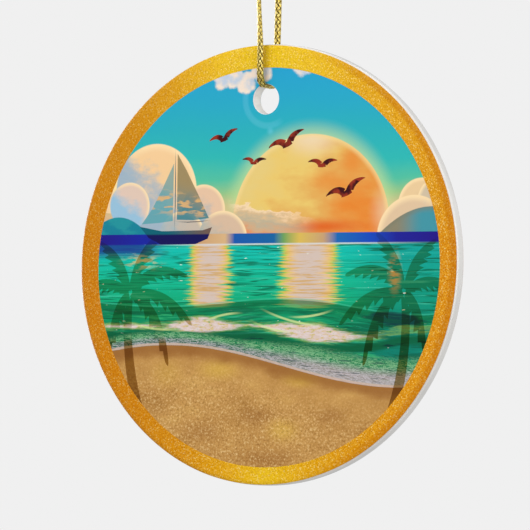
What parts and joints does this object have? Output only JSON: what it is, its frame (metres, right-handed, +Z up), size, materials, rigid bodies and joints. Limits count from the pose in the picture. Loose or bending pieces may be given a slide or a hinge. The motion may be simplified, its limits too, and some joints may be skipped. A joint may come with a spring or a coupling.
{
  "type": "christmas ornament",
  "caption": "Round ceramic Christmas ornament with a printed sunset beach inside a gold glitter border, hung through its hole on a knotted loop of flat metallic cord.",
  "frame": {"origin": "the hang point: the inside top of the cord's loop, just under its knot, where a twig or hook carries it", "axes": "+Z is up as the ornament hangs, -Y is the front face's outward direction, and +X is on the right of someone who looks at the front"},
  "size_m": [0.073, 0.008, 0.1397],
  "materials": {
    "white_ceramic": "white glazed porcelain, glossy",
    "printed_picture": "full-colour print in a thin clear gloss coat",
    "gold_glitter": "fine gold glitter under a thin gloss coat",
    "gold_cord": "flat braid of metallic gold yarn"
  },
  "bodies": {
    "knot": {"cord_knot": "gold_cord", "cord_tail_front": "gold_cord", "cord_tail_back": "gold_cord"},
    "cord": {"cord_loop": "gold_cord"},
    "disc": {"ceramic_disc": "white_ceramic", "front_picture": "printed_picture", "front_border": "gold_glitter", "back_picture": "printed_picture", "back_border": "gold_glitter"}
  },
  "joints": [
    {"name": "cord_spin", "type": "hinge", "parent": "knot", "child": "cord", "pos_m": [0, 0, 0], "axis": [0, 0, 1], "range_deg": [-180, 180]},
    {"name": "disc_swing", "type": "hinge", "parent": "cord", "child": "disc", "pos_m": [0, 0, -0.0646], "axis": [0, 1, 0], "range_deg": [-90, 90]}
  ]
}
